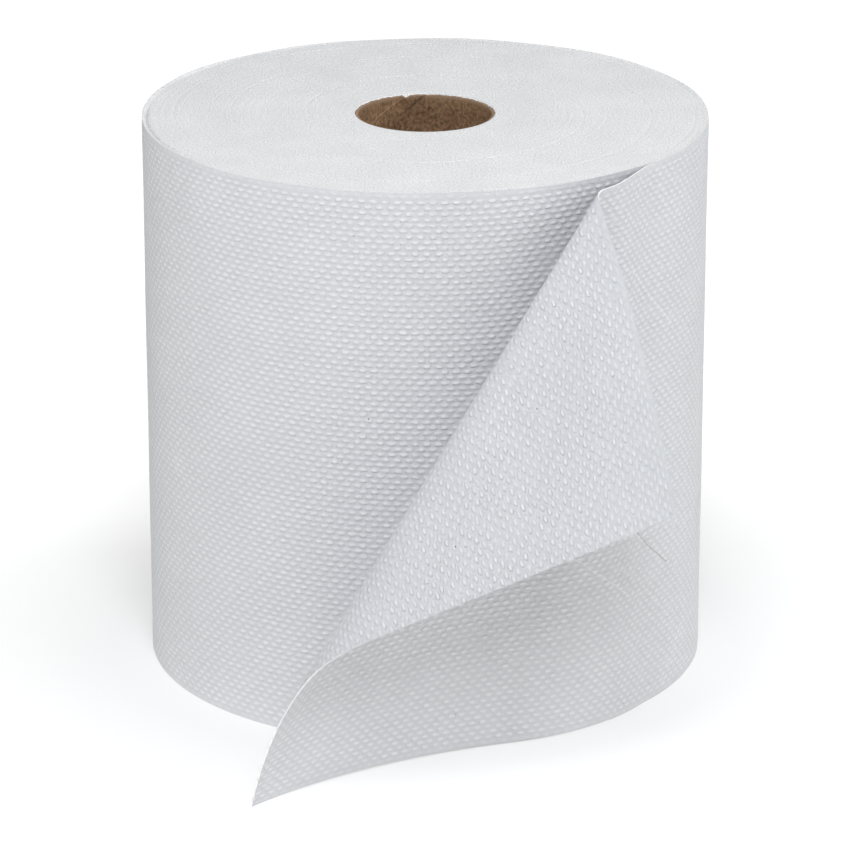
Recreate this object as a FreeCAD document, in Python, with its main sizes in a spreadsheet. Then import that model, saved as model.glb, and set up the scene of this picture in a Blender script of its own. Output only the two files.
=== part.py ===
import FreeCAD, Part
import math
import os

import Sketcher
from FreeCAD import Rotation, Vector

# Hard-wound paper towel roll standing on its end: a kraft core tube and one web of paper,
# wound tight, whose loose tail stands off the roll and rolls its top corner over.
# Millimetres. The roll's axis is Z, the floor is Z = 0 and the viewer stands at -Y.
# Angles round the roll are counted in degrees from -Y towards +X.

SIZES = {
    # wound roll
    "roll_diameter": 200.0,
    "web_width": 200.0,
    "sheet_thickness": 0.4,
    # core tube, and the small notch in its upper rim
    "core_bore": 47.4,
    "core_wall": 1.2,
    "core_recess": 0.5,
    "core_fit": 0.05,
    "notch_width": 3.0,
    "notch_depth": 1.2,
    "notch_offset": 6.7,
    # line that the turns draw on each end face
    "turn_count": 3.0,
    "turn_line_width": 0.5,
    "turn_line_depth": 0.35,
    "turn_rim_margin": 3.0,
    "turn_core_margin": 9.0,
    "turn_crowding": 1.5,
    # where the tail leaves the roll
    "liftoff_angle": 51.0,
    "peel_angle": 5.0,
    "strip_length": 22.8,
    # foot of the first slanting line of the tail
    "foot_angle": 39.3,
    "foot_gap": 2.0,
    "foot_yaw": 4.2,
    # point that all the slanting lines of the tail run to
    "apex_angle": 39.2,
    "apex_gap": 13.7,
    "apex_rise": 20.6,
    # length of the tail along its lower and upper edges
    "tail_bottom": 168.4,
    "tail_top": 151.6,
    "tip_panel": 20.0,
    # each stretch of the tail: the fan it takes in the flat sheet, and its bend
    "hug_fan": 10.3,
    "hug_bend": 26.7,
    "flare_fan": 22.2,
    "flare_bend": -27.9,
    "curl_fan": 7.9,
    "curl_bend": -48.6,
    "crest_fan": 6.1,
    "crest_bend": -89.7,
    "drop_fan": 11.9,
    "drop_bend": 15.1,
    "tip_bend": -49.4,
}

UP = Vector(0, 0, 1)
SEW_TOLERANCE = 1e-5
FLAT_TOLERANCE = 1e-6
STRIP_BEND = 3.5
STRIP_FAN = 3.0
FOOT_STRIPS = 5

doc = FreeCAD.newDocument("towel_roll")
sheet = doc.addObject("Spreadsheet::Sheet", "sizes")
for row, (name, value) in enumerate(SIZES.items(), start=1):
    sheet.set("A%d" % row, name)
    sheet.set("B%d" % row, "%g" % value)
    sheet.setAlias("B%d" % row, name)
doc.recompute()


def size(name):
    """One driving dimension, read from the sheet."""
    return float(sheet.get(name))


def origin_plane(body, role):
    """A body's own origin plane, found by its role."""
    return [plane for plane in body.Origin.OriginFeatures if plane.Role == role][0]


def new_sketch(body, name, role):
    """An empty sketch on one of the body's origin planes."""
    sketch = body.newObject("Sketcher::SketchObject", name)
    sketch.AttachmentSupport = [(origin_plane(body, role), "")]
    sketch.MapMode = "FlatFace"
    return sketch


def drive(sketch, kind, points, expression):
    """Add a dimension to a sketch and bind it to the sheet."""
    index = sketch.addConstraint(Sketcher.Constraint(kind, *points, 1.0))
    sketch.setExpression("Constraints[%d]" % index, expression)


def add_centred_circle(sketch, start_radius, expression):
    """A circle round the sketch's origin whose radius is bound to the sheet."""
    circle = sketch.addGeometry(Part.Circle(Vector(), UP, start_radius))
    sketch.addConstraint(Sketcher.Constraint("Coincident", circle, 3, -1, 1))
    index = sketch.addConstraint(Sketcher.Constraint("Radius", circle, start_radius))
    sketch.setExpression("Constraints[%d]" % index, expression)
    return circle


def on_roll(angle, radius, height=0.0):
    """Point at an angle round the roll, a distance from its axis and a height."""
    turn = math.radians(angle)
    return Vector(radius * math.sin(turn), -radius * math.cos(turn), height)


def along_roll(angle):
    """Level direction in which the sheet runs round the roll at an angle."""
    turn = math.radians(angle)
    return Vector(-math.cos(turn), -math.sin(turn), 0)


def unit(vector):
    """The same direction with a length of one."""
    return vector * (1.0 / vector.Length)


# Core tube: spirally wound kraft board, cut a little shorter than the web is wide

def make_core_tube():
    bore = size("core_bore") / 2
    body = doc.addObject("PartDesign::Body", "core_tube")
    body.Label = "core_tube"
    ring = new_sketch(body, "core_ring", "XY_Plane")
    add_centred_circle(ring, bore, "sizes.core_bore / 2")
    add_centred_circle(ring, bore + size("core_wall"), "sizes.core_bore / 2 + sizes.core_wall")
    tube = body.newObject("PartDesign::Pad", "core_length")
    tube.Profile = ring
    tube.setExpression("Length", "sizes.web_width - 2 * sizes.core_recess")
    doc.recompute()
    cut_rim_notch(body)
    body.setExpression("Placement.Base.z", "sizes.core_recess")
    doc.recompute()
    return body


def cut_rim_notch(body):
    """Small V torn out of the upper rim, at the back and left of the axis."""
    rim = size("web_width") - 2 * size("core_recess")
    left = -size("notch_offset") - size("notch_width") / 2
    right = left + size("notch_width")
    tip = rim - size("notch_depth")
    corners = [Vector(left, rim, 0), Vector((left + right) / 2, tip, 0), Vector(right, rim, 0)]
    sketch = new_sketch(body, "rim_notch", "XZ_Plane")
    for index in range(3):
        sketch.addGeometry(Part.LineSegment(corners[index], corners[(index + 1) % 3]))
    for index in range(3):
        sketch.addConstraint(Sketcher.Constraint("Coincident", index, 2, (index + 1) % 3, 1))
    sketch.addConstraint(Sketcher.Constraint("Horizontal", 2))
    sketch.addConstraint(Sketcher.Constraint("Equal", 0, 1))
    drive(sketch, "DistanceX", (2, 2, 2, 1), "sizes.notch_width")
    drive(sketch, "DistanceY", (0, 2, 0, 1), "sizes.notch_depth")
    drive(sketch, "DistanceX", (0, 2, -1, 1), "sizes.notch_offset")
    drive(sketch, "DistanceY", (-1, 1, 0, 1), "sizes.web_width - 2 * sizes.core_recess")
    whole = body.Shape.Volume
    notch = body.newObject("PartDesign::Pocket", "rim_notch_cut")
    notch.Profile = sketch
    notch.setExpression("Length", "sizes.core_bore / 2 + 2 * sizes.core_wall")
    notch.Reversed = False
    doc.recompute()
    if body.Shape.Volume >= whole or body.Shape.BoundBox.YMax < size("core_bore") / 2:
        raise ValueError("the rim notch cut nothing")


# Wound roll: the outer turn ends in a step one sheet high, where the tail lifts off

def make_wound_roll():
    body = doc.addObject("PartDesign::Body", "wound_roll")
    outline = new_sketch(body, "wound_outline", "XY_Plane")
    add_spiral_turn(outline)
    inner = "sizes.core_bore / 2 + sizes.core_wall + sizes.core_fit"
    add_centred_circle(outline, size("core_bore") / 2 + size("core_wall"), inner)
    width = body.newObject("PartDesign::Pad", "wound_width")
    width.Profile = outline
    width.setExpression("Length", "sizes.web_width")
    body.Placement = FreeCAD.Placement(Vector(), Rotation(UP, 0))
    body.setExpression("Placement.Rotation.Angle", "sizes.liftoff_angle - 90")
    doc.recompute()
    return body


def add_spiral_turn(outline):
    """One outer turn as two half circles that lose a sheet's thickness between them."""
    radius = size("roll_diameter") / 2
    sheet_step = size("sheet_thickness")
    start_side = Part.Circle(Vector(sheet_step / 4, 0, 0), UP, radius + 0.75 * sheet_step)
    end_side = Part.Circle(Vector(-sheet_step / 4, 0, 0), UP, radius + 0.25 * sheet_step)
    first = outline.addGeometry(Part.ArcOfCircle(start_side, 0, math.pi))
    second = outline.addGeometry(Part.ArcOfCircle(end_side, math.pi, 2 * math.pi))
    foot, top = Vector(radius, 0, 0), Vector(radius + sheet_step, 0, 0)
    step = outline.addGeometry(Part.LineSegment(foot, top))
    for end, start in (((first, 2), (second, 1)), ((second, 2), (step, 1)), ((step, 2), (first, 1))):
        outline.addConstraint(Sketcher.Constraint("Coincident", *end, *start))
    for point in ((first, 3), (second, 3), (first, 1), (first, 2), (second, 2)):
        outline.addConstraint(Sketcher.Constraint("PointOnObject", *point, -1))
    drive(outline, "DistanceX", (-1, 1, first, 3), "sizes.sheet_thickness / 4")
    drive(outline, "DistanceX", (second, 3, -1, 1), "sizes.sheet_thickness / 4")
    index = outline.addConstraint(
        Sketcher.Constraint("Radius", first, radius + 0.75 * sheet_step))
    outline.setExpression(
        "Constraints[%d]" % index, "sizes.roll_diameter / 2 + 0.75 * sizes.sheet_thickness")


# Lines of the turns: a shallow spiral cut of half circles that crowd towards the rim

def turn_crossings():
    """Radii at which the spiral line crosses the X axis, half a turn apart, rim first."""
    halves = int(round(2 * size("turn_count")))
    rim = size("roll_diameter") / 2 - size("turn_rim_margin")
    core = size("core_bore") / 2 + size("core_wall") + size("turn_core_margin")
    crowding = size("turn_crowding")
    return [rim - (rim - core) * (step / halves) ** crowding for step in range(halves + 1)]


def half_turns(crossings, shift):
    """Half circles through the crossings, each moved outwards by a shift."""
    radii = [crossing + shift for crossing in crossings]
    arcs = []
    for step in range(len(radii) - 1):
        side = 1 if step % 2 == 0 else -1
        middle = Vector(side * (radii[step] - radii[step + 1]) / 2, 0, 0)
        bow = Vector(0, side * (radii[step] + radii[step + 1]) / 2, 0)
        start = Vector(side * radii[step], 0, 0)
        end = Vector(-side * radii[step + 1], 0, 0)
        arcs.append(Part.Arc(start, middle + bow, end).toShape())
    return arcs


def make_turn_line(name, base_height):
    """Solid of the spiral line, to be cut from an end face."""
    half_width = size("turn_line_width") / 2
    outer = half_turns(turn_crossings(), half_width)
    inner = half_turns(turn_crossings(), -half_width)
    mouth = Part.makeLine(outer[0].Vertexes[0].Point, inner[0].Vertexes[0].Point)
    finish = Part.makeLine(outer[-1].Vertexes[-1].Point, inner[-1].Vertexes[-1].Point)
    wire = Part.Wire(Part.__sortEdges__(outer + inner + [mouth, finish]))
    line = doc.addObject("Part::Feature", name)
    line.Shape = Part.Face(wire).extrude(Vector(0, 0, 2 * size("turn_line_depth")))
    line.Placement = FreeCAD.Placement(Vector(0, 0, base_height), Rotation(UP, 0))
    return line


# Loose tail: straight lines fan out from the apex, so the paper bends but never stretches

class Tail:
    """Flat measures of the tail, and the course of its straight lines in space."""

    def __init__(self):
        self.width = size("web_width")
        self.rise = size("apex_rise")
        self.drop = self.width + self.rise
        self.bottom_run = size("tail_bottom") - size("strip_length")
        self.top_run = size("tail_top") - size("strip_length")
        radius = size("roll_diameter") / 2
        self.apex = on_roll(size("apex_angle"), radius + size("apex_gap"), self.drop)
        self.foot = on_roll(size("foot_angle"), radius + size("foot_gap"))
        self.liftoff = on_roll(size("liftoff_angle"), radius)
        self.corner_fan = math.degrees(math.atan2(self.bottom_run, self.drop))
        panel_start = self.top_run - size("tip_panel")
        self.last_fan = math.degrees(math.atan2(panel_start, self.rise))
        self.tip_fan = math.degrees(math.atan2(self.top_run, self.rise))
        self.stretches = self.lay_out_stretches()
        self.top_edge = self.lay_out_top_edge()
        self.bottom_edge = self.lay_out_bottom_edge()

    def lay_out_stretches(self):
        """Each stretch of the fan as its start, its first line and heading, and its bend rate."""
        line = unit(self.foot - self.apex)
        level = along_roll(size("foot_angle") + size("foot_yaw"))
        heading = unit(level - line * level.dot(line))
        stretches = []
        start = 0.0
        for name in ("hug", "flare", "curl", "crest", "drop", "tip"):
            fan = self.tip_fan - start if name == "tip" else size(name + "_fan")
            rate = size(name + "_bend") / fan
            stretches.append((start, line, heading, rate))
            line, heading = swing(line, heading, rate, fan)
            start += fan
        return stretches

    def line_at(self, fan):
        """Direction of the straight line at a fan angle, and the heading across it."""
        start, line, heading, rate = [s for s in self.stretches if s[0] <= fan + 1e-9][-1]
        return swing(line, heading, rate, fan - start)

    def lay_out_top_edge(self):
        """Upper edge from the lift-off to the start of the curl."""
        self.curl_start = size("hug_fan") + size("flare_fan")
        end = self.cone_top(self.curl_start)
        reach = 0.05
        before = self.cone_top(self.curl_start - reach)
        return bent_edge(self.liftoff + UP * self.width, end, unit(end - before))

    def lay_out_bottom_edge(self):
        """Lower edge from the lift-off to the foot of the first slanting line."""
        level = along_roll(size("foot_angle") + size("foot_yaw"))
        return bent_edge(self.liftoff, self.foot, level)

    def cone_top(self, fan):
        """Point of the upper edge on the line at a fan angle."""
        line, heading = self.line_at(fan)
        return self.apex + line * (self.rise / math.cos(math.radians(fan)))

    def top_at(self, run):
        """Point and heading on the upper edge, a run of sheet away from the lift-off."""
        whole = size("strip_length") + self.rise * math.tan(math.radians(self.curl_start))
        share = run / whole
        return self.top_edge.value(share), unit(self.top_edge.tangent(share)[0])

    def strip_line(self, share):
        """Ends and skin directions of a line between the lift-off and the foot."""
        top, top_heading = self.top_at(share * size("strip_length"))
        bottom = self.bottom_edge.value(share)
        bottom_heading = unit(self.bottom_edge.tangent(share)[0])
        line = unit(bottom - top)
        return top, bottom, unit(top_heading.cross(line)), unit(bottom_heading.cross(line))

    def fan_line(self, fan):
        """Ends and skin directions of the line at a fan angle."""
        line, heading = self.line_at(fan)
        bottom = self.apex + line * self.reach(fan)
        skin = heading.cross(line)
        if fan >= self.curl_start:
            return self.cone_top(fan), bottom, skin, skin
        run = size("strip_length") + self.rise * math.tan(math.radians(fan))
        top, top_heading = self.top_at(run)
        return top, bottom, unit(top_heading.cross(unit(bottom - top))), skin

    def reach(self, fan):
        """Distance from the apex to the lower edge or, past the corner, to the cut end."""
        turn = math.radians(fan)
        if fan <= self.corner_fan:
            return self.drop / math.cos(turn)
        slope = (self.top_run - self.bottom_run) / self.width
        return (self.bottom_run + slope * self.drop) / (math.sin(turn) + slope * math.cos(turn))


def swing(line, heading, rate, fan):
    """Turn a line across the sheet by a fan angle, with a bend for each degree of fan."""
    scale = math.sqrt(1 + rate * rate)
    axis = (line * rate + line.cross(heading)) * (1 / scale)
    turn = Rotation(axis, fan * scale)
    return turn.multVec(line), turn.multVec(heading)


def bent_edge(start, end, end_heading):
    """Edge that leaves the roll at the peel angle and arrives along a heading."""
    leave = along_roll(size("liftoff_angle") + size("peel_angle"))
    pull = (end - start).Length / 3
    edge = Part.BezierCurve()
    edge.setPoles([start, start + leave * pull, end - end_heading * pull, end])
    return edge


def fan_steps(tail):
    """Fan angles of all the lines: each strip between two of them bends only a little."""
    marks = sorted([stretch[0] for stretch in tail.stretches] + [tail.corner_fan, tail.last_fan])
    fans = [0.0]
    for low, high in zip(marks, marks[1:]):
        rate = [stretch[3] for stretch in tail.stretches if stretch[0] <= low][-1]
        share = max(abs(rate) / STRIP_BEND, 1 / STRIP_FAN)
        count = int(math.ceil((high - low) * share))
        fans += [low + (high - low) * (k + 1) / count for k in range(count)]
    return fans


def flat_panel(corners):
    """Flat face through the corners, or two faces folded along a diagonal if they twist."""
    if len(corners) == 4:
        normal = unit((corners[2] - corners[0]).cross(corners[3] - corners[1]))
        if abs(normal.dot(corners[1] - corners[0])) > FLAT_TOLERANCE:
            first, second, third, fourth = corners
            return flat_panel([first, second, third]) + flat_panel([first, third, fourth])
    return [Part.Face(Part.makePolygon(corners + [corners[0]]))]


def sheet_corners(line):
    """Four corners of the sheet's section along a line, round from the inner upper one."""
    top, bottom, top_skin, bottom_skin = line
    thickness = size("sheet_thickness")
    return [top, bottom, bottom + bottom_skin * thickness, top + top_skin * thickness]


def tip_faces(tail):
    """Flat triangle of sheet between the last line and the tip of the rolled corner."""
    ring = sheet_corners(tail.fan_line(tail.last_fan))
    line, heading = tail.line_at(tail.last_fan)
    turn = math.radians(tail.tip_fan - tail.last_fan)
    tip = tail.apex + (line * math.cos(turn) + heading * math.sin(turn)) * tail.reach(tail.tip_fan)
    outer_tip = tip + heading.cross(line) * size("sheet_thickness")
    faces = flat_panel([ring[0], ring[1], tip]) + flat_panel([ring[3], ring[2], outer_tip])
    faces += flat_panel([ring[1], tip, outer_tip, ring[2]])
    return faces + flat_panel([ring[0], tip, outer_tip, ring[3]])


def make_loose_tail():
    """One closed skin: the strip on the roll, the standing wall, the curl and the flap."""
    tail = Tail()
    lines = [tail.strip_line(k / FOOT_STRIPS) for k in range(FOOT_STRIPS)]
    lines += [tail.fan_line(fan) for fan in fan_steps(tail)]
    rings = [sheet_corners(line) for line in lines]
    faces = flat_panel(rings[0])
    for near, far in zip(rings, rings[1:]):
        for upper, lower in ((0, 1), (3, 2), (0, 3), (1, 2)):
            faces += flat_panel([near[upper], near[lower], far[lower], far[upper]])
    skin = Part.Shell(faces + tip_faces(tail))
    skin.sewShape(SEW_TOLERANCE)
    solid = Part.Solid(skin)
    if solid.Volume < 0:
        solid.reverse()
    feature = doc.addObject("Part::Feature", "loose_tail")
    feature.Shape = solid
    feature.Placement = FreeCAD.Placement()
    return feature


def make_towel_paper():
    """The whole web: wound roll and tail in one piece, with the lines of its turns."""
    roll = make_wound_roll()
    tail = make_loose_tail()
    web = doc.addObject("Part::MultiFuse", "whole_web")
    web.Shapes = [roll, tail]
    depth = size("turn_line_depth")
    top_line = make_turn_line("top_turn_line", size("web_width") - depth)
    bottom_line = make_turn_line("bottom_turn_line", -depth)
    lines = doc.addObject("Part::MultiFuse", "turn_lines")
    lines.Shapes = [top_line, bottom_line]
    paper = doc.addObject("Part::Cut", "towel_paper")
    paper.Label = "towel_paper"
    paper.Base = web
    paper.Tool = lines
    doc.recompute()
    return paper


def check_and_write(nodes):
    """Stop at any failed feature or bad solid, then write one file for each sub-part."""
    doc.recompute()
    for thing in doc.Objects:
        if "Invalid" in thing.State or "Error" in thing.State:
            raise ValueError("%s failed: %s" % (thing.Name, thing.State))
    for node in nodes:
        if node.Shape.isNull() or not node.Shape.isValid():
            raise ValueError("%s is not a valid solid" % node.Label)
    os.makedirs("parts", exist_ok=True)
    for node in nodes:
        node.Shape.exportStep("parts/%s.step" % node.Label)
        print(node.Label, len(node.Shape.Solids), "solid", round(node.Shape.Volume, 1), "mm3")


core_tube = make_core_tube()
towel_paper = make_towel_paper()
check_and_write([core_tube, towel_paper])
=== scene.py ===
import math

import bpy
import numpy as np
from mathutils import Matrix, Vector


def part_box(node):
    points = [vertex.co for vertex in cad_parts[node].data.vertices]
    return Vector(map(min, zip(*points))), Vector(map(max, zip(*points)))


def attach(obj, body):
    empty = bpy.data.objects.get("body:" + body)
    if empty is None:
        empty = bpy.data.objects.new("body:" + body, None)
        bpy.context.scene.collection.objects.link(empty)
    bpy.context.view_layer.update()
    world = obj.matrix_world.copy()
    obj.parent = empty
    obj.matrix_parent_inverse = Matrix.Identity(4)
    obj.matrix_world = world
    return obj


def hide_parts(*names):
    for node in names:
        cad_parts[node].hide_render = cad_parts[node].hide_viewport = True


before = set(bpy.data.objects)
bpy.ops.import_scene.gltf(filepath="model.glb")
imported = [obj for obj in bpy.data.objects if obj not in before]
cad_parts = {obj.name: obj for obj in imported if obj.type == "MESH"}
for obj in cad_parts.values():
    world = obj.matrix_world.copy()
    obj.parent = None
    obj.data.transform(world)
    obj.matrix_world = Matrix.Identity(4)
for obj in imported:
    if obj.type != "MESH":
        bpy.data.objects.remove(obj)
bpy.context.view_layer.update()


# Wound web, the outer turn.
# One-ply white towel, embossed with staggered oval dots and wound hard on its core. Only the
# outer turn shows, from the lift-off of the tail right round to the step under it.

WEB_WIDTH = 0.200
SHEET = 0.0004
ROLL_RADIUS = 0.100
TURN_LENGTH = 2 * math.pi * ROLL_RADIUS
LIFTOFF_ANGLE = 51.0
DOT_PITCH = 0.004
ROW_PITCH = 0.002
DOT_HALF_LENGTH = 0.0015
DOT_HALF_HEIGHT = 0.0008
DOT_FLATNESS = 1.3
DOT_HEIGHT = 0.00016
WEAKEST_DOT = 0.6
DOT_SPREAD = 0.4
CHANCE_FACTORS = (12.9898, 78.233, 43758.5453)
PLAIN_MARGIN = 0.002
SLACK_HEIGHT = 0.00007
SLACK_FADE = 0.01
COLUMN = 0.001
FINE_ROW = 0.0005


def dot_relief(run, height):
    """Relief of the embossing, 0 to 1, at a place on the flat web given in metres."""
    row = np.floor(height / ROW_PITCH)
    place = run / DOT_PITCH + 0.5 * np.mod(row, 2)
    across = np.mod(place, 1.0) - 0.5
    up = np.mod(height / ROW_PITCH, 1.0) - 0.5
    reach = (across * DOT_PITCH / DOT_HALF_LENGTH) ** 2 + (up * ROW_PITCH / DOT_HALF_HEIGHT) ** 2
    edge = np.clip(np.minimum(height, WEB_WIDTH - height) / PLAIN_MARGIN, 0.0, 1.0)
    by_column, by_row, spread = CHANCE_FACTORS
    chance = np.mod(np.sin(np.floor(place) * by_column + row * by_row) * spread, 1.0)
    dots = np.clip(DOT_FLATNESS * (1.0 - reach), 0.0, 1.0)
    return dots * edge * (WEAKEST_DOT + DOT_SPREAD * chance)


def slow_wave(run, height):
    """Slack of the wound web in metres: long, shallow and uneven waves."""
    wave = np.sin(run * 61.0 + 2.0 * np.sin(height * 19.0))
    wave += 0.7 * np.sin(run * 143.0 - height * 31.0 + 1.3)
    wave += 0.5 * np.sin(height * 83.0 + 3.0 * np.sin(run * 27.0))
    return wave * SLACK_HEIGHT


def grid_faces(columns, rows):
    """Corner numbers of the faces of a grid that is counted column by column."""
    corner = np.arange((columns - 1) * rows).reshape(columns - 1, rows)[:, :-1]
    return np.stack([corner, corner + rows, corner + rows + 1, corner + 1], axis=-1).reshape(-1, 4)


def build_piece(name, points, faces, flat):
    """Mesh object from points, faces and the place of each point on the flat material."""
    mesh = bpy.data.meshes.new(name)
    mesh.from_pydata(points.tolist(), [], [tuple(face) for face in faces])
    layer = mesh.uv_layers.new(name="flat")
    corners = np.empty(len(mesh.loops), dtype=np.int32)
    mesh.loops.foreach_get("vertex_index", corners)
    layer.data.foreach_set("uv", flat[corners].astype(np.float32).ravel())
    mesh.polygons.foreach_set("use_smooth", [True] * len(mesh.polygons))
    mesh.update()
    piece = bpy.data.objects.new(name, mesh)
    bpy.context.scene.collection.objects.link(piece)
    return piece


def around_roll(turn, radius, height):
    """Points at turns in radians from -Y towards +X."""
    return np.stack([radius * np.sin(turn), -radius * np.cos(turn), height], axis=-1)


RIM_PROUD = 0.00025
RIM_WAVE = 0.0002
RIM_RIPPLE = 0.00012
RIM_BAND = 0.002
TURN_COLUMNS = int(round(TURN_LENGTH / COLUMN))
RIGHT_COLUMNS = 173
FRONT_COLUMNS = 249


def rim_lift(turn):
    """How far the outer turns stand proud of the end faces, in metres, round the roll."""
    return RIM_PROUD + RIM_WAVE * np.sin(turn * 3 + 1) + RIM_RIPPLE * np.sin(turn * 11)


def outer_radius(back):
    """Radius of the outer turn, a run of web back from the lift-off."""
    return ROLL_RADIUS + SHEET * (1.0 - back / TURN_LENGTH)


def make_outer_turn(name, first, last, row):
    """Stretch of the outer turn between two columns, with its dots standing out."""
    back = np.arange(first, last + 1) * COLUMN
    back[-1] = TURN_LENGTH if last == TURN_COLUMNS else back[-1]
    height = np.linspace(0.0, WEB_WIDTH, int(round(WEB_WIDTH / row)) + 1)
    back, height = np.meshgrid(back, height, indexing="ij")
    turn = math.radians(LIFTOFF_ANGLE) + back / ROLL_RADIUS
    radius = outer_radius(back) + DOT_HEIGHT * dot_relief(-back, height)
    level = np.minimum(height, WEB_WIDTH - height)
    slack = slow_wave(back, height) * np.clip(back / SLACK_FADE, 0, 1)
    radius += slack * np.clip(level / SLACK_FADE, 0, 1)
    side = np.where(height > WEB_WIDTH / 2, 1.0, -1.0)
    lifted = height + side * rim_lift(turn) * np.clip(1 - level / RIM_BAND, 0, 1)
    points = around_roll(turn, radius, lifted).reshape(-1, 3)
    flat = np.stack([-back, height], axis=-1).reshape(-1, 2)
    return build_piece(name, points, grid_faces(*back.shape), flat)


FRONT_START = TURN_COLUMNS - FRONT_COLUMNS
outer_turn = [
    make_outer_turn("outer_turn_right", 0, RIGHT_COLUMNS, FINE_ROW),
    make_outer_turn("outer_turn_back", RIGHT_COLUMNS, FRONT_START, 2 * FINE_ROW),
    make_outer_turn("outer_turn_front", FRONT_START, TURN_COLUMNS, FINE_ROW),
]


def add_node(tree, kind, values=None, **settings):
    """A shader node with its settings and the values of its sockets."""
    node = tree.nodes.new(kind)
    for key, value in settings.items():
        setattr(node, key, value)
    for key, value in (values or {}).items():
        node.inputs[key].default_value = value
    return node


def math_node(tree, operation, *terms, clamp=False):
    """A math node whose terms are numbers or outputs of other nodes."""
    node = add_node(tree, "ShaderNodeMath", operation=operation, use_clamp=clamp)
    for index, term in enumerate(terms):
        if isinstance(term, (int, float)):
            node.inputs[index].default_value = term
        else:
            tree.links.new(term, node.inputs[index])
    return node.outputs[0]


def vector_node(tree, operation, first, second, scale=None, result="Vector"):
    """A vector math node whose terms are outputs or fixed vectors."""
    node = add_node(tree, "ShaderNodeVectorMath", operation=operation)
    for index, term in enumerate((first, second)):
        if isinstance(term, tuple):
            node.inputs[index].default_value = term
        elif term is not None:
            tree.links.new(term, node.inputs[index])
    if scale is not None:
        tree.links.new(scale, node.inputs["Scale"])
    return node.outputs[result]


def centred(tree, value, strength):
    """A value from 0 to 1 moved to swing around zero, times a strength."""
    return math_node(tree, "MULTIPLY", math_node(tree, "SUBTRACT", value, 0.5), strength)


def noise_node(tree, vector, scale, detail, roughness=0.5):
    """A noise texture that is read at a vector."""
    values = {"Scale": scale, "Detail": detail, "Roughness": roughness}
    node = add_node(tree, "ShaderNodeTexNoise", values)
    tree.links.new(vector, node.inputs["Vector"])
    return node


def parts_of(tree, vector):
    """The X, Y and Z outputs of a vector."""
    node = add_node(tree, "ShaderNodeSeparateXYZ")
    tree.links.new(vector, node.inputs[0])
    return node.outputs


def mix_colors(tree, factor, first, second):
    """Mix of two colours, each a colour or an output, by an output."""
    node = add_node(tree, "ShaderNodeMix", data_type="RGBA")
    tree.links.new(factor, node.inputs["Factor"])
    for index, value in ((6, first), (7, second)):
        if isinstance(value, tuple):
            node.inputs[index].default_value = value
        else:
            tree.links.new(value, node.inputs[index])
    return node.outputs[2]


def new_material(name, roughness, specular=0.5):
    """A material with its node tree and its main shader."""
    material = bpy.data.materials.new(name)
    material.use_nodes = True
    shader = material.node_tree.nodes["Principled BSDF"]
    shader.inputs["Roughness"].default_value = roughness
    shader.inputs["Specular IOR Level"].default_value = specular
    return material, material.node_tree, shader


def set_bump(tree, shader, height, strength, distance):
    """Fine relief on the shader's normal, its height times a distance in metres."""
    bump = add_node(tree, "ShaderNodeBump", {"Strength": strength, "Distance": distance})
    tree.links.new(height, bump.inputs["Height"])
    tree.links.new(bump.outputs[0], shader.inputs["Normal"])


def new_group(name, *masks):
    """Node group that turns a place on the flat web, in metres, into masks."""
    group = bpy.data.node_groups.new(name, "ShaderNodeTree")
    group.interface.new_socket("Flat", in_out="INPUT", socket_type="NodeSocketVector")
    for label in masks:
        group.interface.new_socket(label, in_out="OUTPUT", socket_type="NodeSocketFloat")
    flat = group.nodes.new("NodeGroupInput").outputs["Flat"]
    return group, flat, group.nodes.new("NodeGroupOutput").inputs


DOT_WOBBLE = 0.4
WOBBLE_SCALE = 900.0
MASK_MARGIN = 0.003


def dot_shape(tree, place, row_place):
    """Oval around the middle of each cell of the lattice."""
    across = centred(tree, math_node(tree, "FRACT", place), DOT_PITCH / DOT_HALF_LENGTH)
    up = centred(tree, math_node(tree, "FRACT", row_place), ROW_PITCH / DOT_HALF_HEIGHT)
    across = math_node(tree, "POWER", across, 2.0)
    reach = math_node(tree, "ADD", across, math_node(tree, "POWER", up, 2.0))
    inside = math_node(tree, "SUBTRACT", 1.0, reach)
    return math_node(tree, "MULTIPLY", inside, DOT_FLATNESS, clamp=True)


def dot_strength(tree, place, row):
    """Strength of each dot, drawn by the number of its cell."""
    number = add_node(tree, "ShaderNodeCombineXYZ")
    tree.links.new(math_node(tree, "FLOOR", place), number.inputs["X"])
    tree.links.new(row, number.inputs["Y"])
    chance = add_node(tree, "ShaderNodeTexWhiteNoise", noise_dimensions="2D")
    tree.links.new(number.outputs[0], chance.inputs["Vector"])
    spread = math_node(tree, "MULTIPLY", chance.outputs["Value"], DOT_SPREAD)
    return math_node(tree, "ADD", spread, WEAKEST_DOT)


def make_dots_group():
    """Mask of the embossed dots, uneven in place and strength, with a plain margin."""
    group, flat, masks = new_group("embossed_dots", "Dots")
    parts = parts_of(group, flat)
    row_place = math_node(group, "DIVIDE", parts["Y"], ROW_PITCH)
    row = math_node(group, "FLOOR", row_place)
    odd = math_node(group, "MULTIPLY", math_node(group, "FLOORED_MODULO", row, 2.0), 0.5)
    place = math_node(group, "ADD", math_node(group, "DIVIDE", parts["X"], DOT_PITCH), odd)
    warp = noise_node(group, flat, WOBBLE_SCALE, 2.0)
    place = math_node(group, "ADD", place, centred(group, warp.outputs[0], DOT_WOBBLE))
    dots = dot_shape(group, place, row_place)
    dots = math_node(group, "MULTIPLY", dots, dot_strength(group, place, row))
    above = math_node(group, "SUBTRACT", WEB_WIDTH, parts["Y"])
    margin = math_node(group, "MINIMUM", parts["Y"], above)
    margin = math_node(group, "DIVIDE", margin, MASK_MARGIN, clamp=True)
    group.links.new(math_node(group, "MULTIPLY", dots, margin), masks["Dots"])
    return group


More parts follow.
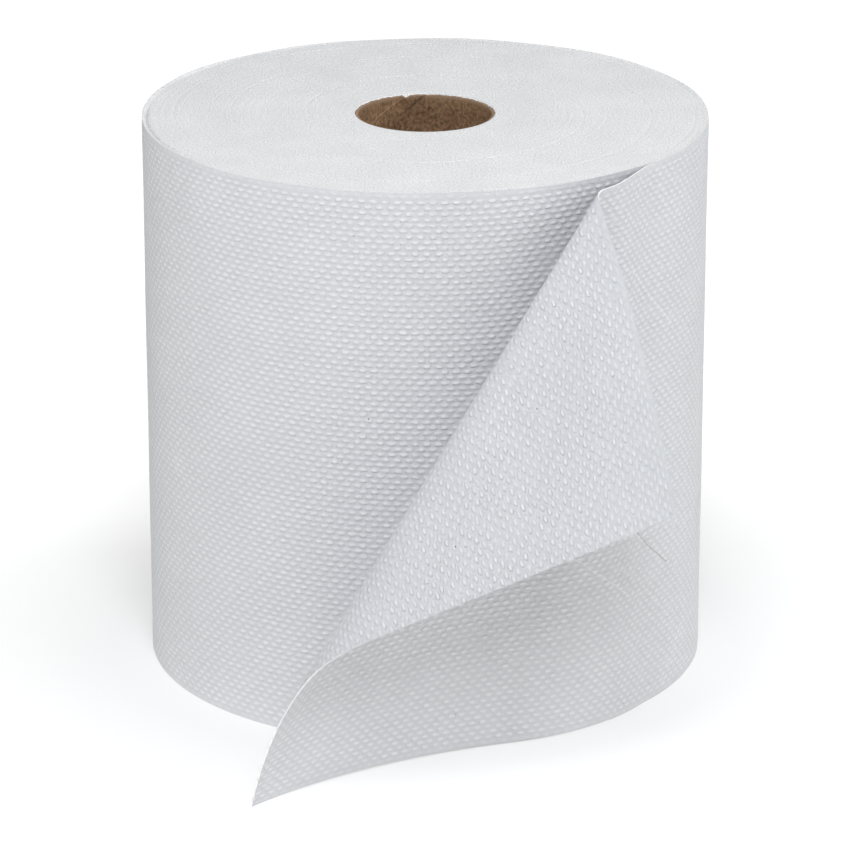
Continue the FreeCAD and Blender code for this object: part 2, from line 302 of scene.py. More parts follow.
SPECK_SCALE = 200.0
SPECK_RARITY = 0.76
SPECK_SIZE = 0.062
CLOUD_SCALE = 38.0
FIBRE_SCALE = 2600.0


def make_specks_group():
    """Masks of rare dark specks of recycled fibre, soft clouds and fine fibres."""
    group, flat, masks = new_group("fibre_specks", "Specks", "Clouds", "Fibres")
    cells = add_node(group, "ShaderNodeTexVoronoi", {"Scale": SPECK_SCALE})
    group.links.new(flat, cells.inputs["Vector"])
    pick = add_node(group, "ShaderNodeSeparateColor")
    group.links.new(cells.outputs["Color"], pick.inputs[0])
    chosen = math_node(group, "GREATER_THAN", pick.outputs[0], SPECK_RARITY)
    size = math_node(group, "MULTIPLY", pick.outputs[1], SPECK_SIZE)
    near = math_node(group, "LESS_THAN", cells.outputs["Distance"], size)
    group.links.new(math_node(group, "MULTIPLY", chosen, near), masks["Specks"])
    group.links.new(noise_node(group, flat, CLOUD_SCALE, 4.0).outputs[0], masks["Clouds"])
    group.links.new(noise_node(group, flat, FIBRE_SCALE, 3.0).outputs[0], masks["Fibres"])
    return group


# Ends of the straight parts of the creases, as run past the lift-off and height in metres. The creases
# are painted only: light lines as painted highlight, dark lines as painted shade.
HIGHLIGHT_CREASES = (
    ((0.0230, 0.1690), (0.0120, 0.1630)),
    ((0.0120, 0.1630), (0.0022, 0.1536)),
    ((0.0022, 0.1536), (-0.0135, 0.1388)),
    ((0.0400, 0.0650), (0.0230, 0.0522)),
    ((0.0230, 0.0522), (0.0125, 0.0446)),
)
SHADE_CREASES = (
    ((0.0085, 0.0680), (-0.0020, 0.0585)),
    ((-0.0020, 0.0585), (-0.0128, 0.0497)),
)
CREASE_WIDTH = 0.0003
CREASE_WANDER = 0.0010
WANDER_SCALE = 500.0


def crease_mask(tree, place, creases):
    """Mask that is 1 on the middle of any of the straight creases and 0 beside them."""
    mask = None
    for (run, height), (far_run, far_height) in creases:
        along = (far_run - run, far_height - height, 0.0)
        offset = vector_node(tree, "SUBTRACT", place, (run, height, 0.0))
        share = vector_node(tree, "DOT_PRODUCT", offset, along, result="Value")
        share = math_node(tree, "DIVIDE", share, along[0] ** 2 + along[1] ** 2, clamp=True)
        reached = vector_node(tree, "SCALE", along, None, scale=share)
        away = vector_node(tree, "SUBTRACT", offset, reached)
        away = vector_node(tree, "LENGTH", away, None, result="Value")
        away = math_node(tree, "DIVIDE", away, CREASE_WIDTH)
        line = math_node(tree, "SUBTRACT", 1.0, away, clamp=True)
        mask = line if mask is None else math_node(tree, "MAXIMUM", mask, line)
    return mask


def make_creases_group():
    """Masks of the fine creases in the sheet: light lines of painted highlight and dark lines of painted
    shade.
    """
    group, flat, masks = new_group("creases", "Painted_highlight", "Painted_shade")
    wander = noise_node(group, flat, WANDER_SCALE, 2.0)
    shift = vector_node(group, "SUBTRACT", wander.outputs["Color"], (0.5, 0.5, 0.5))
    shift = vector_node(group, "MULTIPLY", shift, (CREASE_WANDER, CREASE_WANDER, 0.0))
    place = vector_node(group, "ADD", flat, shift)
    group.links.new(crease_mask(group, place, HIGHLIGHT_CREASES), masks["Painted_highlight"])
    group.links.new(crease_mask(group, place, SHADE_CREASES), masks["Painted_shade"])
    return group


dots_group = make_dots_group()
specks_group = make_specks_group()
creases_group = make_creases_group()
PAPER_ROUGHNESS = 0.92
PAPER_SPECULAR = 0.15
# Painted highlight: how much paler the dots are painted than the ground; the ground between them is
# painted shade.
DOT_HIGHLIGHT_TONE = 0.85
CLOUD_TONE = 0.5
FIBRE_TONE = 1.6
# Painted highlight and painted shade of the creases.
CREASE_HIGHLIGHT_TONE = 0.75
CREASE_HIGHLIGHT_COLOR = (0.95, 0.95, 0.95, 1.0)
CREASE_SHADE_COLOR = (0.40, 0.39, 0.38, 1.0)
SPECK_COLOR = (0.25, 0.21, 0.18, 1.0)
PAPER_BUMP = 0.0005


def make_paper(name, ground, raised, dot_bump, fibre_bump):
    """Embossed towel: dots painted paler on a darker ground as a painted highlight on each dot and
    painted shade between them, with fibres, specks and creases.
    """
    material, tree, shader = new_material(name, PAPER_ROUGHNESS, PAPER_SPECULAR)
    flat = add_node(tree, "ShaderNodeUVMap", uv_map="flat")
    dots = add_node(tree, "ShaderNodeGroup", node_tree=dots_group)
    specks = add_node(tree, "ShaderNodeGroup", node_tree=specks_group)
    creases = add_node(tree, "ShaderNodeGroup", node_tree=creases_group)
    for group in (dots, specks, creases):
        tree.links.new(flat.outputs[0], group.inputs[0])
    fibres = specks.outputs["Fibres"]
    shade = math_node(tree, "MULTIPLY", dots.outputs["Dots"], DOT_HIGHLIGHT_TONE)
    shade = math_node(tree, "ADD", shade, centred(tree, specks.outputs["Clouds"], CLOUD_TONE))
    shade = math_node(tree, "ADD", shade, centred(tree, fibres, FIBRE_TONE), clamp=True)
    # Painted highlight on the dots and painted shade between them, mixed with the paper's own cloud and
    # fibre tone.
    color = mix_colors(tree, shade, ground, raised)
    # Creases: painted highlight lines, then painted shade lines.
    pale = math_node(tree, "MULTIPLY", creases.outputs["Painted_highlight"], CREASE_HIGHLIGHT_TONE)
    color = mix_colors(tree, pale, color, CREASE_HIGHLIGHT_COLOR)
    color = mix_colors(tree, creases.outputs["Painted_shade"], color, CREASE_SHADE_COLOR)
    color = mix_colors(tree, specks.outputs["Specks"], color, SPECK_COLOR)
    tree.links.new(color, shader.inputs["Base Color"])
    height = math_node(tree, "MULTIPLY", dots.outputs["Dots"], dot_bump)
    height = math_node(tree, "ADD", height, math_node(tree, "MULTIPLY", fibres, fibre_bump))
    set_bump(tree, shader, height, 1.0, PAPER_BUMP)
    return material


# The pale colour serves both the paper's own paler fibres and the painted highlight on the dots.
OUTSIDE_GROUND = (0.690, 0.698, 0.725, 1.0)
OUTSIDE_PALE_AND_HIGHLIGHT = (0.890, 0.894, 0.910, 1.0)
paper_outside = make_paper("paper_outside", OUTSIDE_GROUND, OUTSIDE_PALE_AND_HIGHLIGHT, 0.9, 1.4)
for stretch in outer_turn:
    stretch.data.materials.append(paper_outside)
    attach(stretch, "root")
    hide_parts("towel_paper")


# Loose tail of the web.
# The same sheet, lifted off the roll. It stands on end in front of the roll with its upper
# corner rolled over, and bends along straight lines that fan out from one point in the air.

PEEL_ANGLE = 5.0
STRIP_LENGTH = 0.0228
FOOT_ANGLE = 39.3
FOOT_GAP = 0.002
FOOT_YAW = 4.2
APEX_ANGLE = 39.2
APEX_GAP = 0.0137
APEX_RISE = 0.0206
TAIL_BOTTOM = 0.1684
TAIL_TOP = 0.1516
APEX_DROP = WEB_WIDTH + APEX_RISE
TIP_FAN = math.degrees(math.atan2(TAIL_TOP - STRIP_LENGTH, APEX_RISE))
# Fan in the flat sheet and bend of each stretch, in degrees. The tip takes the rest of the fan.
STRETCHES = {
    "hug": (10.3, 26.7),
    "flare": (22.2, -27.9),
    "curl": (7.9, -48.6),
    "crest": (6.1, -89.7),
    "drop": (11.9, 15.1),
    "tip": (None, -49.4),
}


def place_on_roll(angle, radius, height):
    """One point at an angle in degrees."""
    return around_roll(np.radians(angle), radius, height)


def level_heading(angle):
    """Level direction in which the sheet runs round the roll at an angle."""
    return np.array([-math.cos(math.radians(angle)), -math.sin(math.radians(angle)), 0.0])


def unit(vectors):
    """The same directions with a length of one."""
    return vectors / np.linalg.norm(vectors, axis=-1, keepdims=True)


def swing(line, heading, rate, fan):
    """Lines and headings after turning across the sheet by fan angles in degrees."""
    scale = math.sqrt(1 + rate * rate)
    axis = (line * rate + np.cross(line, heading)) / scale
    turn = np.radians(np.asarray(fan) * scale)[..., None]

    def rotate(vector):
        along = axis * np.dot(axis, vector)
        return along + (vector - along) * np.cos(turn) + np.cross(axis, vector) * np.sin(turn)

    return rotate(line), rotate(heading)


apex = place_on_roll(APEX_ANGLE, ROLL_RADIUS + APEX_GAP, APEX_DROP)
foot = place_on_roll(FOOT_ANGLE, ROLL_RADIUS + FOOT_GAP, 0.0)
liftoff = place_on_roll(LIFTOFF_ANGLE, ROLL_RADIUS, 0.0)


def lay_out_stretches():
    """Start, first line, first heading and bend rate of each stretch of the fan."""
    line = unit(foot - apex)
    level = level_heading(FOOT_ANGLE + FOOT_YAW)
    heading = unit(level - line * np.dot(level, line))
    start = 0.0
    stretches = {}
    for name, (fan, bend) in STRETCHES.items():
        fan = TIP_FAN - start if fan is None else fan
        stretches[name] = (start, line, heading, bend / fan)
        line, heading = swing(line, heading, bend / fan, fan)
        start += fan
    return stretches


fan_stretches = lay_out_stretches()
CURL_START = fan_stretches["curl"][0]
ROUNDING = 1e-9
HEADING_STEP = 0.05
EDGE_STEPS = 241


def lines_at(fan):
    """Directions of the lines, and headings across them, at an array of fan angles."""
    line = np.zeros(fan.shape + (3,))
    heading = np.zeros(fan.shape + (3,))
    for start, first_line, first_heading, rate in fan_stretches.values():
        inside = fan >= start - ROUNDING
        line[inside], heading[inside] = swing(first_line, first_heading, rate, fan[inside] - start)
    return line, heading


def bent_edge(start, end, end_heading, share):
    """Point and heading on an edge that peels off the roll and arrives along a heading."""
    leave = level_heading(LIFTOFF_ANGLE + PEEL_ANGLE)
    pull = np.linalg.norm(end - start) / 3
    a, b, c, d = start, start + leave * pull, end - end_heading * pull, end
    k = share[..., None]
    point = (1 - k) ** 3 * a + 3 * (1 - k) ** 2 * k * b + 3 * (1 - k) * k ** 2 * c + k ** 3 * d
    slope = (1 - k) ** 2 * (b - a) + 2 * (1 - k) * k * (c - b) + k ** 2 * (d - c)
    return point, unit(slope)


def cone_top(fan):
    """Points of the upper edge on the fanned lines."""
    line = lines_at(fan)[0]
    return apex + line * (APEX_RISE / np.cos(np.radians(fan)))[..., None]


def upper_edge(run):
    """Point and heading on the upper edge, a run of web away from the lift-off."""
    ends = cone_top(np.array([CURL_START - HEADING_STEP, CURL_START]))
    whole = STRIP_LENGTH + APEX_RISE * math.tan(math.radians(CURL_START))
    start = liftoff + np.array([0.0, 0.0, WEB_WIDTH])
    return bent_edge(start, ends[1], unit(ends[1] - ends[0]), run / whole)


def hold_to_roll(run, height, fan, reach, line, skin):
    """Place and skin direction of points before the curl, between the two edges."""
    far = APEX_DROP / np.cos(np.radians(fan))
    near = APEX_RISE / np.cos(np.radians(fan))
    in_strip = run < STRIP_LENGTH
    top_run = np.where(in_strip, run, STRIP_LENGTH + APEX_RISE * np.tan(np.radians(fan)))
    top, top_heading = upper_edge(np.where(fan < CURL_START, top_run, 0.0))
    strip_bottom, strip_heading = bent_edge(
        liftoff, foot, level_heading(FOOT_ANGLE + FOOT_YAW), np.clip(run / STRIP_LENGTH, 0, 1))
    share = np.where(in_strip, 1 - height / WEB_WIDTH, (reach - near) / (far - near))[..., None]
    in_strip = in_strip[..., None]
    bottom = np.where(in_strip, strip_bottom, apex + line * far[..., None])
    down = unit(bottom - top)
    top_skin = unit(np.cross(top_heading, down))
    bottom_skin = np.where(in_strip, unit(np.cross(strip_heading, down)), skin)
    return top + (bottom - top) * share, unit(top_skin * (1 - share) + bottom_skin * share)


def bend_tail(run, height):
    """Place and outward skin direction of points of the flat tail."""
    past_strip = np.maximum(run - STRIP_LENGTH, 0.0)
    fan = np.degrees(np.arctan2(past_strip, APEX_DROP - height))
    reach = np.hypot(past_strip, APEX_DROP - height)
    line, heading = lines_at(fan)
    skin = np.cross(heading, line)
    place = apex + line * reach[..., None]
    held_place, held_skin = hold_to_roll(run, height, fan, reach, line, skin)
    hugging = (fan < CURL_START)[..., None]
    return np.where(hugging, held_place, place), np.where(hugging, held_skin, skin)


def flat_tail(row):
    """Grid over the flat tail, its last points drawn in to the cut end."""
    runs = np.arange(0.0, TAIL_BOTTOM + COLUMN, COLUMN)
    height = np.linspace(0.0, WEB_WIDTH, int(round(WEB_WIDTH / row)) + 1)
    run, height = np.meshgrid(runs, height, indexing="ij")
    cut = TAIL_BOTTOM + (TAIL_TOP - TAIL_BOTTOM) * height / WEB_WIDTH
    faces = grid_faces(*run.shape)
    outside = run > cut
    kept = ~outside.ravel()[faces].all(axis=1)
    return np.minimum(run, cut), height, faces[kept]


def make_tail_face(name, offset, side, flip):
    """One face of the tail, its dots raised along the skin direction or against it."""
    run, height, faces = flat_tail(FINE_ROW)
    place, skin = bend_tail(run, height)
    lift = offset + side * DOT_HEIGHT * dot_relief(run, height)
    points = (place + skin * lift[..., None]).reshape(-1, 3)
    flat = np.stack([run, height], axis=-1).reshape(-1, 2)
    return build_piece(name, points, faces[:, ::-1] if flip else faces, flat)


def make_tail_edge():
    """Narrow edge of the sheet: the lower edge, the cut end and the upper edge."""
    steps = np.linspace(0.0, 1.0, EDGE_STEPS)
    run = np.concatenate([steps * TAIL_BOTTOM, TAIL_BOTTOM + steps * (TAIL_TOP - TAIL_BOTTOM),
                          TAIL_TOP * (1 - steps)])
    height = np.concatenate([steps * 0, steps * WEB_WIDTH, steps * 0 + WEB_WIDTH])
    place, skin = bend_tail(run, height)
    points = np.stack([place, place + skin * SHEET], axis=1).reshape(-1, 3)
    flat = np.repeat(np.stack([run, height], axis=-1), 2, axis=0)
    return build_piece("tail_edge", points, grid_faces(len(run), 2), flat)


# Inside face: the same paper as the outside, its colours set paler as painted light to brighten the
# flap, with the same painted highlight on the dots.
INSIDE_LIT_GROUND = (0.720, 0.730, 0.764, 1.0)
INSIDE_LIT_PALE_AND_HIGHLIGHT = (0.930, 0.935, 0.955, 1.0)
# The cut edge of the sheet is painted paler than the paper: a painted highlight along its edges.
EDGE_HIGHLIGHT_COLOR = (0.93, 0.93, 0.93, 1.0)
EDGE_ROUGHNESS = 0.95
paper_inside_lit = make_paper("paper_inside_lit", INSIDE_LIT_GROUND, INSIDE_LIT_PALE_AND_HIGHLIGHT, 1.4, 1.9)
tail_outside = make_tail_face("tail_outside", SHEET, 1.0, True)
tail_inside = make_tail_face("tail_inside", 0.0, -1.0, False)
tail_edge = make_tail_edge()
paper_edge_highlight, _, edge_shader = new_material("paper_edge_highlight", EDGE_ROUGHNESS)
edge_shader.inputs["Base Color"].default_value = EDGE_HIGHLIGHT_COLOR
for face, paper in ((tail_outside, paper_outside), (tail_inside, paper_inside_lit), (tail_edge, paper_edge_highlight)):
    face.data.materials.append(paper)
    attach(face, "root")
    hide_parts("towel_paper")


# End faces of the wound web.
# The cut edges of hundreds of turns, pressed side by side: smooth and matt, with faint lines
# that follow the turns, one turn pushed in at the left, and the outer turn slightly proud.

core_low, core_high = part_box("core_tube")
CORE_OUTSIDE = (core_high[0] - core_low[0]) / 2
END_RINGS = 190
END_STEPS = 252
BORE_STEP = -1e-6
BORE_DEPTH = 0.004
BORE_FADE = 0.0005
TURN_LINES = 3.0
RIM_MARGIN = 0.003
CORE_MARGIN = 0.009
CROWDING = 1.5
LINE_DEPTH = 0.00018
LINE_HALF_WIDTH = 0.00035
LOOSE_TURN_ANGLE = -74.0
LOOSE_TURN_SPREAD = 22.0
LOOSE_TURN_RADIUS = 0.0985
LOOSE_TURN_HALF_WIDTH = 0.0004
LOOSE_TURN_DEPTH = 0.0016
PROUD_BAND = 0.0012
PROUD_RISE = 0.0010
FINE_WAVE = 0.00002
COARSE_WAVE = 0.00003


def line_radius(turns):
    """Radius of the spiral line after a number of turns from the rim."""
    rim = ROLL_RADIUS - RIM_MARGIN
    core = CORE_OUTSIDE + CORE_MARGIN
    return rim - (rim - core) * (np.clip(turns, 0, TURN_LINES) / TURN_LINES) ** CROWDING


def end_waves(turn, radius):
    """Height in metres of turns that stand a little in or out."""
    waves = FINE_WAVE * np.sin(radius * 2100.0 + 0.6 * np.sin(turn * 2 + radius * 90.0))
    waves += COARSE_WAVE * np.sin(radius * 330.0 + turn)
    return waves


def loose_turn(turn, radius):
    """Depth in metres of the turn that is pushed in, over part of its way round."""
    along = np.mod(turn - math.radians(LOOSE_TURN_ANGLE) + math.pi, 2 * math.pi) - math.pi
    loose = np.clip(1 - (along / math.radians(LOOSE_TURN_SPREAD)) ** 2, 0, 1)
    across = (radius - LOOSE_TURN_RADIUS) / LOOSE_TURN_HALF_WIDTH
    return LOOSE_TURN_DEPTH * loose * np.exp(-across ** 2)


def end_relief(turn, radius):
    """Height of the end face in metres, with the start of the bore at its inner edge."""
    relief = end_waves(turn, radius)
    share = np.mod(turn / (2 * math.pi), 1.0)
    for whole in range(int(TURN_LINES) + 1):
        turns = whole + share
        away = np.abs(radius - line_radius(turns))
        groove = LINE_DEPTH * np.exp(-(away / LINE_HALF_WIDTH) ** 2)
        relief -= np.where(turns <= TURN_LINES, groove, 0.0)
    relief -= loose_turn(turn, radius)
    rim = np.clip((radius - ROLL_RADIUS + PROUD_BAND) / PROUD_RISE, 0, 1)
    inner = np.clip((radius - CORE_OUTSIDE) / BORE_FADE, 0, 1)
    bore = BORE_DEPTH * (radius < CORE_OUTSIDE)
    return (relief * (1 - rim) + rim * rim_lift(turn)) * inner - bore


def make_end_face(name, level, side):
    """Ring of cut edges at a level, facing up or down."""
    share = np.concatenate([[BORE_STEP], np.linspace(0.0, 1.0, END_RINGS)])
    turn = np.linspace(0.0, 2 * math.pi, END_STEPS + 1) + math.radians(LIFTOFF_ANGLE)
    share, turn = np.meshgrid(share, turn, indexing="ij")
    back = (turn - math.radians(LIFTOFF_ANGLE)) / (2 * math.pi) * TURN_LENGTH
    radius = CORE_OUTSIDE + share * (outer_radius(back) - CORE_OUTSIDE)
    height = level + side * end_relief(turn, radius)
    points = around_roll(turn, radius, height).reshape(-1, 3)
    flat = np.stack([radius, turn / (2 * math.pi)], axis=-1).reshape(-1, 2)
    faces = grid_faces(*share.shape)
    return build_piece(name, points, faces if side > 0 else faces[:, ::-1], flat)


END_ROUGHNESS = 0.95
END_SPECULAR = 0.1
RING_SCALE = 1400.0
BLOT_SCALE = 45.0
GRAIN_SCALE = 1600.0
RING_TONE = 0.3
GRAIN_TONE = 3.2
BLOT_TONE = 0.5
END_DARK = (0.635, 0.637, 0.645, 1.0)
END_PALE = (0.910, 0.912, 0.920, 1.0)
RING_HEIGHT = 0.25
GRAIN_HEIGHT = 0.9


def make_end_paper():
    """Cut edges: cool white with faint rings, blots and a fine grain."""
    material, tree, shader = new_material("paper_cut_edges", END_ROUGHNESS, END_SPECULAR)
    place = add_node(tree, "ShaderNodeTexCoord").outputs["Object"]
    flat = add_node(tree, "ShaderNodeUVMap", uv_map="flat").outputs[0]
    values = {"Scale": RING_SCALE, "Detail": 4.0}
    ring_noise = add_node(tree, "ShaderNodeTexNoise", values, noise_dimensions="1D")
    tree.links.new(parts_of(tree, flat)["X"], ring_noise.inputs["W"])
    rings = ring_noise.outputs[0]
    blots = noise_node(tree, place, BLOT_SCALE, 5.0).outputs[0]
    grain = noise_node(tree, place, GRAIN_SCALE, 3.0).outputs[0]
    tone = math_node(tree, "MULTIPLY", rings, RING_TONE)
    tone = math_node(tree, "ADD", tone, centred(tree, grain, GRAIN_TONE))
    blots = math_node(tree, "MULTIPLY", blots, BLOT_TONE)
    tone = math_node(tree, "ADD", tone, blots, clamp=True)
    tree.links.new(mix_colors(tree, tone, END_DARK, END_PALE), shader.inputs["Base Color"])
    height = math_node(tree, "ADD", math_node(tree, "MULTIPLY", rings, RING_HEIGHT),
                       math_node(tree, "MULTIPLY", grain, GRAIN_HEIGHT))
    set_bump(tree, shader, height, 0.9, PAPER_BUMP)
    return material


paper_cut_edges = make_end_paper()
for face in (make_end_face("upper_end_face", WEB_WIDTH, 1), make_end_face("lower_end_face", 0.0, -1)):
    face.data.materials.append(paper_cut_edges)
    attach(face, "root")
    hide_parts("towel_paper")


# Core tube.
# Brown kraft board in plies, wound as a spiral and cut to length. Its upper rim is a little
# ragged, with a small notch and a dent pressed in at the back.

CORE_WALL = 0.0012
CORE_RADIUS = CORE_OUTSIDE - CORE_WALL
CORE_STEPS = 360
CORE_ROWS = 130
ROW_CROWDING = 1.7
RAGGED_WAVE = 0.00008
RAGGED_RIPPLE = 0.00006
RAGGED_BAND = 0.0016
NOTCH_PLACE = -0.0067
NOTCH_HALF_WIDTH = 0.0016
NOTCH_DEPTH = 0.0009
DENT_LEFT = 203.0
DENT_TIP = 195.7
DENT_RIGHT = 179.0
DENT_DEPTH = 0.0058
DENT_SLOPE = 4.0
DENT_PRESS = 0.0007


def core_profile():
    """Radius and height round the tube's cut, from the foot of its outer wall."""
    depth = np.linspace(0.0, 1.0, CORE_ROWS) ** ROW_CROWDING
    inner_height = core_high[2] - depth * (core_high[2] - core_low[2])
    inner_radius = np.full(CORE_ROWS, CORE_RADIUS)
    radius = np.concatenate([[CORE_OUTSIDE, CORE_OUTSIDE], inner_radius, [CORE_OUTSIDE]])
    height = np.concatenate([[core_low[2], core_high[2]], inner_height, [core_low[2]]])
    return radius, height


def dent_mask(turn, below, inner):
    """Three-cornered dent in the inner wall, with its tip down."""
    sunk = np.clip(below / DENT_DEPTH, 0, 1)
    angle = np.degrees(turn)
    into_left = (DENT_LEFT + (DENT_TIP - DENT_LEFT) * sunk) - angle
    into_right = angle - (DENT_RIGHT + (DENT_TIP - DENT_RIGHT) * sunk)
    dent = np.clip(np.minimum(into_left, into_right) / DENT_SLOPE, 0, 1)
    return dent * (below < DENT_DEPTH) * inner


def rim_wear(turn, radius, below):
    """How far the rim is worn down, in metres: ragged all round, notched at the back."""
    ragged = RAGGED_WAVE * np.sin(turn * 23) + RAGGED_RIPPLE * np.sin(turn * 57 + 1)
    away = np.abs(radius * np.sin(turn) - NOTCH_PLACE)
    notch = NOTCH_DEPTH * np.clip(1 - away / NOTCH_HALF_WIDTH, 0, 1) * (np.cos(turn) < 0)
    return np.clip(1 - below / RAGGED_BAND, 0, 1) * (ragged + notch)


def make_core():
    """Closed tube: inner wall, rims and outer wall, with the dent in the inner wall."""
    profile_radius, profile_height = core_profile()
    turn = np.linspace(0.0, 2 * math.pi, CORE_STEPS + 1)
    turn, radius = np.meshgrid(turn, profile_radius, indexing="ij")
    height = np.broadcast_to(profile_height, radius.shape).copy()
    below = core_high[2] - height
    dent = dent_mask(turn, below, radius < CORE_OUTSIDE - CORE_WALL / 2)
    radius = radius - DENT_PRESS * dent
    height = height - rim_wear(turn, radius, below)
    points = around_roll(turn, radius, height).reshape(-1, 3)
    flat = np.stack([turn * CORE_RADIUS, height], axis=-1).reshape(-1, 2)
    piece = build_piece("core", points, grid_faces(*radius.shape), flat)
    mask = piece.data.attributes.new("dent", "FLOAT", "POINT")
    mask.data.foreach_set("value", dent.astype(np.float32).ravel())
    return piece


BOARD_ROUGHNESS = 0.85
BOARD_SPECULAR = 0.2
BOARD_DARK = (0.085, 0.046, 0.023, 1.0)
BOARD_PALE = (0.430, 0.265, 0.150, 1.0)
BOARD_FIBRE_TONE = 2.2
BOARD_CLOUD_TONE = 0.9
CUT_RIM_COLOR = (0.30, 0.20, 0.13, 1.0)
CUT_RIM_BAND = 0.0012
CUT_RIM_FADE = 0.0005
SEAM_SLOPE = 0.53
SEAM_START = 0.2425
SEAM_PITCH = SEAM_SLOPE * 2 * math.pi * CORE_RADIUS
SEAM_HALF_WIDTH = 0.004
SEAM_TONE = 0.6
SEAM_COLOR = (0.50, 0.34, 0.21, 1.0)
# Painted shade in the dent of the inner wall.
DENT_SHADE_TONE = 0.35
DENT_SHADE_COLOR = (0.16, 0.09, 0.05, 1.0)
BOARD_BUMP = 0.0003


def seam_mask(tree, parts):
    """Mask of the slanting seam where neighbouring turns of board meet."""
    slant = math_node(tree, "ADD", parts["Y"], math_node(tree, "MULTIPLY", parts["X"], SEAM_SLOPE))
    seam = math_node(tree, "DIVIDE", math_node(tree, "SUBTRACT", slant, SEAM_START), SEAM_PITCH)
    seam = math_node(tree, "PINGPONG", seam, 0.5)
    seam = math_node(tree, "DIVIDE", seam, SEAM_HALF_WIDTH)
    return math_node(tree, "SUBTRACT", 1.0, seam, clamp=True)


def make_board():
    """Kraft board: brown fibres, a paler cut rim, one slanting seam and painted shade in the dent."""
    material, tree, shader = new_material("kraft_board", BOARD_ROUGHNESS, BOARD_SPECULAR)
    flat = add_node(tree, "ShaderNodeUVMap", uv_map="flat").outputs[0]
    parts = parts_of(tree, flat)
    stretch = add_node(tree, "ShaderNodeMapping", {"Scale": (1.0, 0.7, 1.0)})
    tree.links.new(flat, stretch.inputs[0])
    fibres = noise_node(tree, stretch.outputs[0], 900.0, 6.0, roughness=0.7).outputs[0]
    clouds = noise_node(tree, flat, 60.0, 3.0).outputs[0]
    clouds = math_node(tree, "MULTIPLY", clouds, BOARD_CLOUD_TONE)
    tone = math_node(tree, "ADD", centred(tree, fibres, BOARD_FIBRE_TONE), clouds, clamp=True)
    color = mix_colors(tree, tone, BOARD_DARK, BOARD_PALE)
    rim = math_node(tree, "SUBTRACT", parts["Y"], core_high[2] - CUT_RIM_BAND)
    rim = math_node(tree, "DIVIDE", rim, CUT_RIM_FADE, clamp=True)
    color = mix_colors(tree, rim, color, CUT_RIM_COLOR)
    seam = seam_mask(tree, parts)
    color = mix_colors(tree, math_node(tree, "MULTIPLY", seam, SEAM_TONE), color, SEAM_COLOR)
    # Painted shade over the dent, read from the mask that the tube's mesh carries.
    dent_shade = add_node(tree, "ShaderNodeAttribute", attribute_name="dent").outputs["Fac"]
    color = mix_colors(tree, math_node(tree, "MULTIPLY", dent_shade, DENT_SHADE_TONE), color, DENT_SHADE_COLOR)
    tree.links.new(color, shader.inputs["Base Color"])
    set_bump(tree, shader, math_node(tree, "ADD", fibres, seam), 0.4, BOARD_BUMP)
    return material


core = make_core()
core.data.materials.append(make_board())
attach(core, "root")
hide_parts("core_tube")


# Studio: white floor and surround, with broad lamps above, in front, to the left and to the right.

FLOOR_SIDE = 8.0
FLOOR_SEEN = (0.62, 0.62, 0.62, 1.0)
FLOOR_LIGHTING = (0.97, 0.96, 0.94, 1.0)
WHITE = (1.0, 1.0, 1.0, 1.0)
# Painted light: near the roll the floor glows onto its foot, though it is no lamp.
FOOT_FILL_GLOW = 0.16
# Near the roll the camera sees less glow: a painted shadow round the foot.
NEAR_GLOW = 0.34
FAR_GLOW = 0.28
GLOW_START = 0.115
GLOW_RISE = 0.13
LAMP_COLOR = (0.945, 0.97, 1.0)
LAMP_TARGET = (0.0, 0.0, 0.1)
# Name, place, side in metres and power in watts of each lamp.
LAMPS = (
    ("overhead_lamp", (-0.15, -0.7, 1.1), 0.6, 5.6),
    ("front_lamp", (0.15, -1.25, 1.2), 0.45, 7.8),
    ("left_lamp", (-1.3, -0.5, 0.3), 0.8, 3.6),
    ("right_lamp", (1.25, 0.05, 0.7), 0.5, 7.0),
)
SKY_LIGHT = (0.425, 0.420, 0.405, 1.0)


def floor_glow(tree, seen):
    """Glow of the floor: to the camera it is lower by the roll, a painted shadow round its foot, and
    rises to white further out; to other rays it glows a little near the roll, painted light on the
    roll's foot.
    """
    place = add_node(tree, "ShaderNodeTexCoord").outputs["Object"]
    far = vector_node(tree, "LENGTH", place, None, result="Value")
    far = math_node(tree, "SUBTRACT", far, GLOW_START)
    far = math_node(tree, "DIVIDE", far, GLOW_RISE, clamp=True)
    to_camera = math_node(tree, "ADD", math_node(tree, "MULTIPLY", far, FAR_GLOW), NEAR_GLOW)
    painted_foot_light = math_node(tree, "MULTIPLY", math_node(tree, "SUBTRACT", 1.0, far), FOOT_FILL_GLOW)
    unseen = math_node(tree, "SUBTRACT", 1.0, seen)
    return math_node(tree, "ADD", math_node(tree, "MULTIPLY", seen, to_camera),
                     math_node(tree, "MULTIPLY", unseen, painted_foot_light))


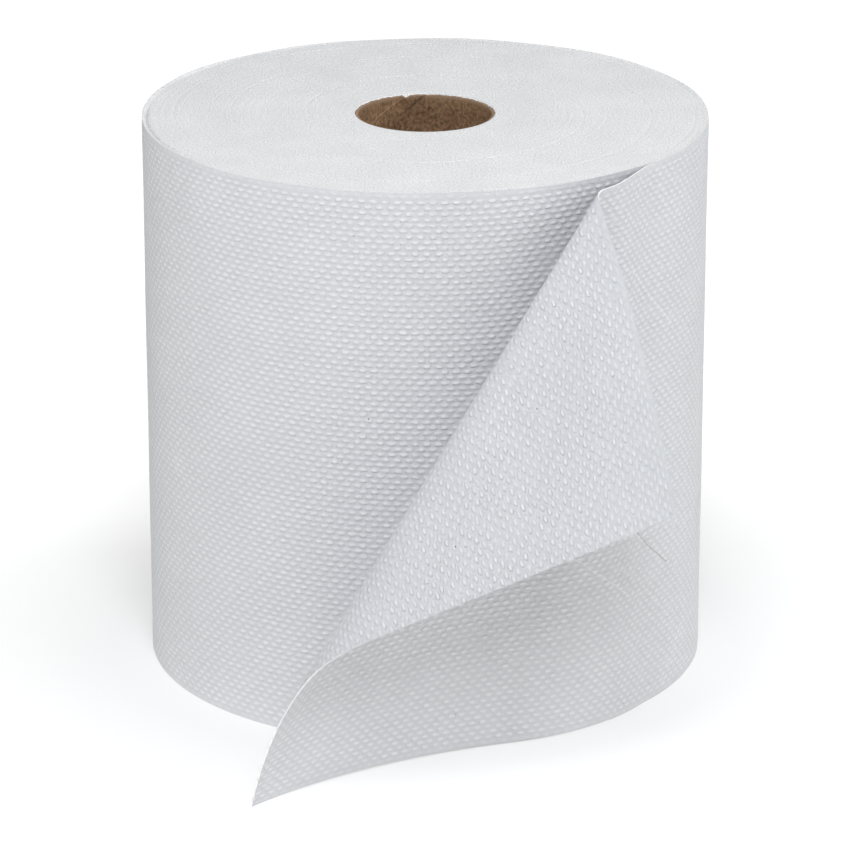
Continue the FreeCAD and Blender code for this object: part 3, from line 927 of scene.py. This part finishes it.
def make_floor():
    """Large floor, white away from the roll, that keeps the roll's soft shadow, with painted shadow and
    painted light from its glow near the roll.
    """
    bpy.ops.mesh.primitive_plane_add(size=FLOOR_SIDE, location=(0, 0, 0))
    floor = bpy.context.object
    floor.name = "floor"
    material, tree, shader = new_material("white_floor", 1.0, 0.0)
    seen = add_node(tree, "ShaderNodeLightPath").outputs["Is Camera Ray"]
    color = mix_colors(tree, seen, FLOOR_LIGHTING, FLOOR_SEEN)
    tree.links.new(color, shader.inputs["Base Color"])
    tree.links.new(floor_glow(tree, seen), shader.inputs["Emission Strength"])
    shader.inputs["Emission Color"].default_value = WHITE
    floor.data.materials.append(material)


def add_lamp(name, place, side, power):
    """Square area lamp that faces the middle of the roll."""
    lamp = bpy.data.lights.new(name, "AREA")
    lamp.size = side
    lamp.energy = power
    lamp.color = LAMP_COLOR
    holder = bpy.data.objects.new(name, lamp)
    bpy.context.scene.collection.objects.link(holder)
    holder.location = place
    aim = np.array(LAMP_TARGET) - np.array(place)
    flat_length = math.hypot(aim[0], aim[1])
    holder.rotation_euler = (math.atan2(flat_length, -aim[2]), 0.0, math.atan2(-aim[0], aim[1]))


make_floor()
for lamp_values in LAMPS:
    add_lamp(*lamp_values)

world = bpy.data.worlds.new("studio")
bpy.context.scene.world = world
world.use_nodes = True
sky = world.node_tree
ray = add_node(sky, "ShaderNodeLightPath")
surround = mix_colors(sky, ray.outputs["Is Camera Ray"], SKY_LIGHT, WHITE)
sky.links.new(surround, sky.nodes["Background"].inputs["Color"])


# Camera: long lens in front of the roll's middle, looking down on it as the photograph does.

CAMERA_DISTANCE = 1.600
CAMERA_HEIGHT = 0.6576
CAMERA_DIP = 19.78
PHOTO_SIDE = 850
LENS_PIXELS = 4686.0
SENSOR_WIDTH = 36.0
camera_data = bpy.data.cameras.new("camera")
camera_data.sensor_width = SENSOR_WIDTH
camera_data.lens = LENS_PIXELS * SENSOR_WIDTH / PHOTO_SIDE
camera = bpy.data.objects.new("camera", camera_data)
bpy.context.scene.collection.objects.link(camera)
camera.location = (0.0, -CAMERA_DISTANCE, CAMERA_HEIGHT)
camera.rotation_euler = (math.radians(90.0 - CAMERA_DIP), 0.0, 0.0)
bpy.context.scene.camera = camera
bpy.context.scene.view_settings.view_transform = "Standard"
